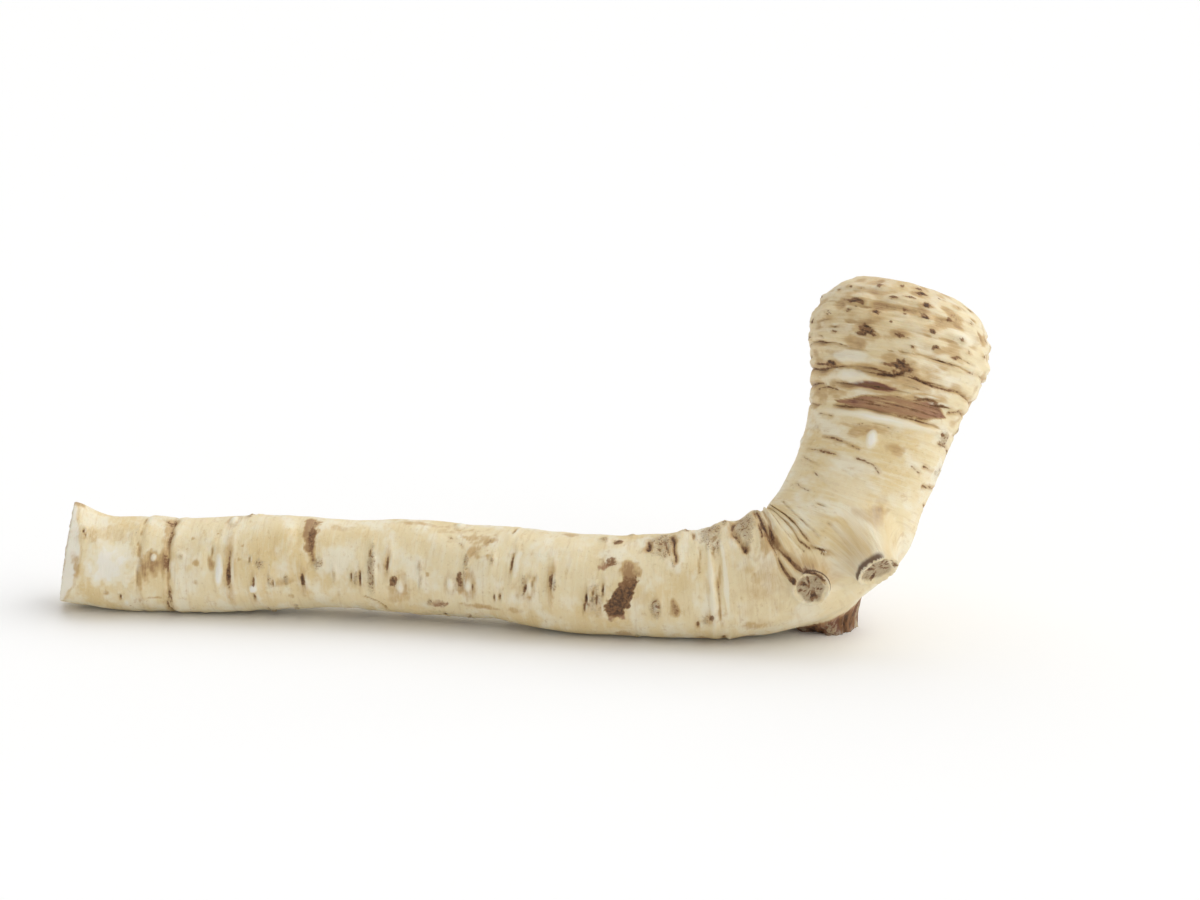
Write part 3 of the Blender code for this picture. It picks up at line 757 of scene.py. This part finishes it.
# The fold over a stub is painted shade: a thin dark band just outside the stub's rim, on the side the fold
# hangs over
beside_stub = np.full(along.shape, 3.0)  # radii from the nearest stub's middle, for the dark fold
for place, middle, toward, size, length, craggy, reach, fold in STUBS:
    ring = len(CUT_SHARES) + np.argmin(np.abs(places - place))
    foot = points[ring, np.argmin(np.abs(degrees_from(middle)[0]))]
    axis = np.array(toward) / np.linalg.norm(toward)
    off = points - foot
    level = off @ axis
    sideways = off - level[..., None] * axis
    distance = np.linalg.norm(sideways, axis=-1) / size
    near = (distance < reach) & (level > -STUB_DEPTH)
    down = np.clip((distance - STUB_END) / (reach - STUB_END), 0, 1)
    eased = 1 + 0.2 * down + (2 * reach - 2.1) * down**2 + (0.9 - reach) * down**3
    squeeze = np.where(down > 0, eased / np.maximum(distance, 1e-3), 1 / STUB_END)
    lumps = noise_at(off / 5.0 + foot)
    end_share = distance / STUB_END
    hollow = 0.10 * size * hump(1.6 * end_share) - 0.12 * size * hump((end_share - 0.92) / 0.14)
    lift = (1 - down) ** 1.7 * (length - hollow + (0.5 + craggy) * lumps - level)
    lift += 0.5 * fine * (1 - smooth_step(0.9, 1.2, end_share))
    crag = craggy * (1 - down) * (1.6 * ragged + 1.2 * fine)
    shift = axis * (lift + crag)[..., None] + sideways * (squeeze - 1 + crag / size)[..., None]
    moved += np.where(near[..., None], shift, 0)
    closest = near & (distance < beside_stub)
    beside_stub = np.where(closest, distance, beside_stub)
    apart = size * distance + 0.1
    # Painted shade: the side of each stub under its fold is marked, to be painted dark in a thin band
    # beside the rim
    fold_shade_side = smooth_step(0.1, 0.8, sideways @ np.array(fold) / apart)
    marks["fold_shade"] = np.where(closest, fold_shade_side, marks["fold_shade"])
    core_rays = noise_at(3.4 * sideways / apart[..., None] + 0.5 * distance[..., None] + place)
    in_core = hump((end_share - 0.42) / 0.3)
    worn = end_share + 0.25 * ragged
    lay("wood", np.where(near, 0.9 - 0.9 * smooth_step(0.55, 0.90, worn), 0))
    lay("crumbly", np.where(near, 0.5 - 0.5 * smooth_step(0.66, 0.9, worn), 0))
    lay("pale", np.where(near, (0.35 + 0.4 * ragged) * hump((end_share - 0.97) / 0.16), 0))
    lay("crumbly", np.where(near, 0.5 * hump((end_share - 0.95) / 0.2) * smooth_step(-0.1, 0.4, ragged), 0))
    lay("cork", np.where(near, 0.45 * patchy * hump((worn - 0.80) / 0.06), 0))
    lay("cork", np.where(near, 0.5 * hump(end_share / 0.3) * smooth_step(-0.2, 0.3, fine), 0))
    lay("cork", np.where(near, 1.1 * smooth_step(0.05, 0.25, core_rays) * in_core, 0))
    # Painted shade: a tan band on the side under the fold, a little way out from the stub
    lay("stain_and_shade", np.where(near, 0.5 * fold_shade_side * hump((distance - 1.45) / 0.3), 0))
    skirt = np.where(near, craggy * (1 - smooth_step(0.35, 0.85, down)), 0)
    lay("stain_and_shade", 1.2 * skirt)
    lay("wood", 0.3 * skirt)
    lay("wine", skirt * (1.7 + 1.2 * ragged))
    lay("crumbly", skirt * (0.4 + ragged))
    lay("cork", 1.1 * skirt * smooth_step(-0.25, 0.25, -ragged))
points += moved
points[..., 2] = np.maximum(points[..., 2], 0)
marks["beside_stub"] = beside_stub

# The sheet's faces, with its marks painted on its points, and a place on the growing root for patterns
CUT_SPREAD = 14.0
root_shape = bmesh.new()
layers = {kind: root_shape.verts.layers.float.new(kind) for kind in marks}
grown_layer = root_shape.verts.layers.float_vector.new("grown")
bmesh.ops.create_grid(root_shape, x_segments=SIDES, y_segments=RINGS - 1, size=0.5)
grown = np.stack(
    [
        MEAN_RADIUS * np.cos(turn) * share,
        MEAN_RADIUS * np.sin(turn) * share,
        along + CUT_SPREAD * (1 - share),
    ],
    axis=-1,
)
for vertex in root_shape.verts:
    ring = round((vertex.co.y + 0.5) * (RINGS - 1))
    side = round((vertex.co.x + 0.5) * SIDES)
    vertex.co = points[ring, side] / 1000
    for kind, layer in layers.items():
        vertex[layer] = marks[kind][ring, side]
    vertex[grown_layer] = grown[ring, side]
bmesh.ops.remove_doubles(root_shape, verts=root_shape.verts, dist=1e-6)
bmesh.ops.holes_fill(root_shape, edges=root_shape.edges, sides=0)
bmesh.ops.recalc_face_normals(root_shape, faces=root_shape.faces)
root_mesh = bpy.data.meshes.new("horseradish_skin")
root_shape.to_mesh(root_mesh)
root_shape.free()
root_mesh.shade_smooth()
root = bpy.data.objects.new("horseradish_skin", root_mesh)
bpy.context.scene.collection.objects.link(root)

# Its skin: cream, faintly waxy, streaked round the root, with tan stains, brown and black cork, red-brown
# scars and pale blisters, and painted shade in its hollows, on the crown and beside the stubs
skin = bpy.data.materials.new("root_skin")
skin.use_nodes = True
nodes, links = skin.node_tree.nodes, skin.node_tree.links
shader = nodes["Principled BSDF"]


def attribute(name, vector=False):
    """A value painted on the skin's points."""
    made = nodes.new("ShaderNodeAttribute")
    made.attribute_name = name
    return made.outputs["Vector" if vector else "Fac"]


def speckle(scale, detail=3.0, roughness=0.55):
    """A pattern that follows the skin, with this many bumps to a millimetre across, across and along."""
    stretch = nodes.new("ShaderNodeMapping")
    stretch.inputs["Scale"].default_value = scale
    links.new(grown_on, stretch.inputs["Vector"])
    pattern = nodes.new("ShaderNodeTexNoise")
    pattern.inputs["Scale"].default_value = 1.0
    pattern.inputs["Detail"].default_value = detail
    pattern.inputs["Roughness"].default_value = roughness
    links.new(stretch.outputs["Vector"], pattern.inputs["Vector"])
    return pattern.outputs["Fac"]


def ramp(value, low, high, top=1.0):
    """A smooth rise from 0 to top as the value goes from low to high."""
    made = nodes.new("ShaderNodeMapRange")
    made.interpolation_type = "SMOOTHSTEP"
    made.inputs["From Min"].default_value = low
    made.inputs["From Max"].default_value = high
    made.inputs["To Max"].default_value = top
    links.new(value, made.inputs["Value"])
    return made.outputs["Result"]


def sum_of(operation, first, second, third=None):
    """One step of arithmetic on patterns and numbers."""
    made = nodes.new("ShaderNodeMath")
    made.operation = operation
    for socket, value in zip(made.inputs, (first, second, third)):
        if isinstance(value, (int, float)):
            socket.default_value = value
        elif value is not None:
            links.new(value, socket)
    return made.outputs["Value"]


def tinted(under, over, amount):
    """A colour laid over another by an amount."""
    made = nodes.new("ShaderNodeMix")
    made.data_type = "RGBA"
    for socket, value in ((made.inputs[6], under), (made.inputs[7], over)):
        if isinstance(value, tuple):
            socket.default_value = (*value, 1)
        else:
            links.new(value, socket)
    links.new(amount, made.inputs[0])
    return made.outputs[2]


CREAM = (0.80, 0.68, 0.43)
STRAW = (0.72, 0.55, 0.27)
IVORY = (0.84, 0.775, 0.60)
TAN = (0.55, 0.365, 0.155)
DEEP_TAN = (0.34, 0.19, 0.08)
BROWN = (0.25, 0.125, 0.052)
BLACK_CORK = (0.085, 0.046, 0.027)
RED_BROWN = (0.37, 0.19, 0.095)
DARK_RED = (0.17, 0.06, 0.035)
OLD_CUT = (0.43, 0.33, 0.20)
FOLD_SHADE = (0.11, 0.052, 0.024)
CHALK = (0.86, 0.83, 0.74)
WHITE_FLESH = (0.84, 0.79, 0.66)
GREY_BROWN = (0.42, 0.33, 0.20)
PALE_CRUMB = (0.52, 0.415, 0.26)
grown_on = attribute("grown", True)
broad = speckle((0.035, 0.035, 0.028), 2.0)
clouds = speckle((0.075, 0.075, 0.12), 3.0, 0.6)
streaks = speckle((0.06, 0.06, 0.60), 4.0, 0.6)
hair_streaks = speckle((0.16, 0.16, 2.2), 3.0, 0.6)
grains = speckle((0.85, 0.85, 1.0), 4.0, 0.7)
blotches = speckle((0.20, 0.20, 0.34), 4.0, 0.65)
colour = tinted(CREAM, STRAW, ramp(broad, 0.42, 0.64, 0.8))
colour = tinted(colour, IVORY, ramp(clouds, 0.44, 0.66, 0.85))
colour = tinted(colour, IVORY, ramp(streaks, 0.54, 0.70, 0.35))
colour = tinted(colour, TAN, ramp(streaks, 0.46, 0.32, 0.22))
colour = tinted(colour, TAN, ramp(hair_streaks, 0.62, 0.76, 0.25))
colour = tinted(colour, TAN, ramp(blotches, 0.57, 0.72, 0.40))
colour = tinted(colour, DEEP_TAN, ramp(grains, 0.58, 0.74, 0.30))
colour = tinted(colour, IVORY, ramp(grains, 0.44, 0.30, 0.35))
colour = tinted(colour, WHITE_FLESH, ramp(attribute("flesh"), 0.2, 0.8))
colour = tinted(colour, GREY_BROWN, ramp(sum_of("MULTIPLY", attribute("flesh"), grains), 0.46, 0.66, 0.30))
# The tan and deep tan of the stains, and of the painted shade laid with them in hollows, on the crown and
# beside the stubs
stain_and_shade_amount = sum_of("MULTIPLY_ADD", blotches, 1.1, sum_of("MULTIPLY_ADD", hair_streaks, 0.7, -0.05))
stain_and_shade_amount = sum_of("MULTIPLY", attribute("stain_and_shade"), stain_and_shade_amount)
colour = tinted(colour, TAN, ramp(stain_and_shade_amount, 0.10, 0.66, 0.85))
colour = tinted(colour, DEEP_TAN, ramp(stain_and_shade_amount, 0.56, 1.05, 0.85))
colour = tinted(colour, OLD_CUT, ramp(attribute("wood"), 0.2, 0.8, 0.95))
colour = tinted(colour, PALE_CRUMB, ramp(sum_of("MULTIPLY", attribute("wood"), grains), 0.36, 0.60, 0.9))
reddened = sum_of("MULTIPLY_ADD", blotches, 1.0, sum_of("MULTIPLY_ADD", hair_streaks, 1.0, -0.15))
reddened = sum_of("MULTIPLY", attribute("wine"), reddened)
colour = tinted(colour, RED_BROWN, ramp(reddened, 0.38, 1.00, 0.95))
colour = tinted(colour, DARK_RED, ramp(reddened, 0.98, 1.50, 0.9))
colour = tinted(colour, IVORY, ramp(attribute("pale"), 0.10, 0.60, 0.8))
colour = tinted(colour, CHALK, ramp(attribute("pale"), 0.65, 1.0, 0.9))
crumb = sum_of("MULTIPLY", attribute("crumbly"), ramp(grains, 0.42, 0.60))
colour = tinted(colour, PALE_CRUMB, ramp(crumb, 0.15, 0.7, 0.75))
crack = sum_of("MULTIPLY", attribute("crumbly"), ramp(grains, 0.51, 0.41))
colour = tinted(colour, BROWN, ramp(crack, 0.25, 0.85, 0.92))
corky = sum_of("MULTIPLY", attribute("cork"), sum_of("MULTIPLY_ADD", grains, 3.4, -0.7))
colour = tinted(colour, BROWN, ramp(corky, 0.26, 0.58, 0.9))
colour = tinted(colour, BLACK_CORK, ramp(corky, 0.66, 1.15, 0.9))
# Painted shade: a thin dark band beside each stub's rim, on the side under the fold
beside = attribute("beside_stub")
fold = sum_of("MULTIPLY", ramp(beside, 1.27, 1.31), ramp(beside, 1.37, 1.32))
fold = sum_of("MULTIPLY", fold, ramp(attribute("fold_shade"), 0.1, 0.7))
colour = tinted(colour, FOLD_SHADE, ramp(fold, 0.0, 1.0, 0.92))
links.new(colour, shader.inputs["Base Color"])
rough = sum_of("ADD", ramp(corky, 0.2, 0.7, 0.28), sum_of("MULTIPLY_ADD", blotches, 0.35, 0.30))
links.new(rough, shader.inputs["Roughness"])
shader.inputs["Specular IOR Level"].default_value = 0.42
shader.inputs["Subsurface Weight"].default_value = 0.12
shader.inputs["Subsurface Radius"].default_value = (1.0, 0.6, 0.3)
shader.inputs["Subsurface Scale"].default_value = 0.0025
roughened = sum_of("MAXIMUM", attribute("cork"), attribute("crumbly"))
bumps = sum_of("MULTIPLY_ADD", hair_streaks, 0.35, sum_of("MULTIPLY", grains, 0.25))
bumps = sum_of("MULTIPLY_ADD", sum_of("MULTIPLY", grains, roughened), 2.2, bumps)
bump = nodes.new("ShaderNodeBump")
bump.inputs["Strength"].default_value = 0.6
bump.inputs["Distance"].default_value = 0.0006
links.new(bumps, bump.inputs["Height"])
links.new(bump.outputs["Normal"], shader.inputs["Normal"])
root_mesh.materials.append(skin)
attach(root, "root")
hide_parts("horseradish_root")
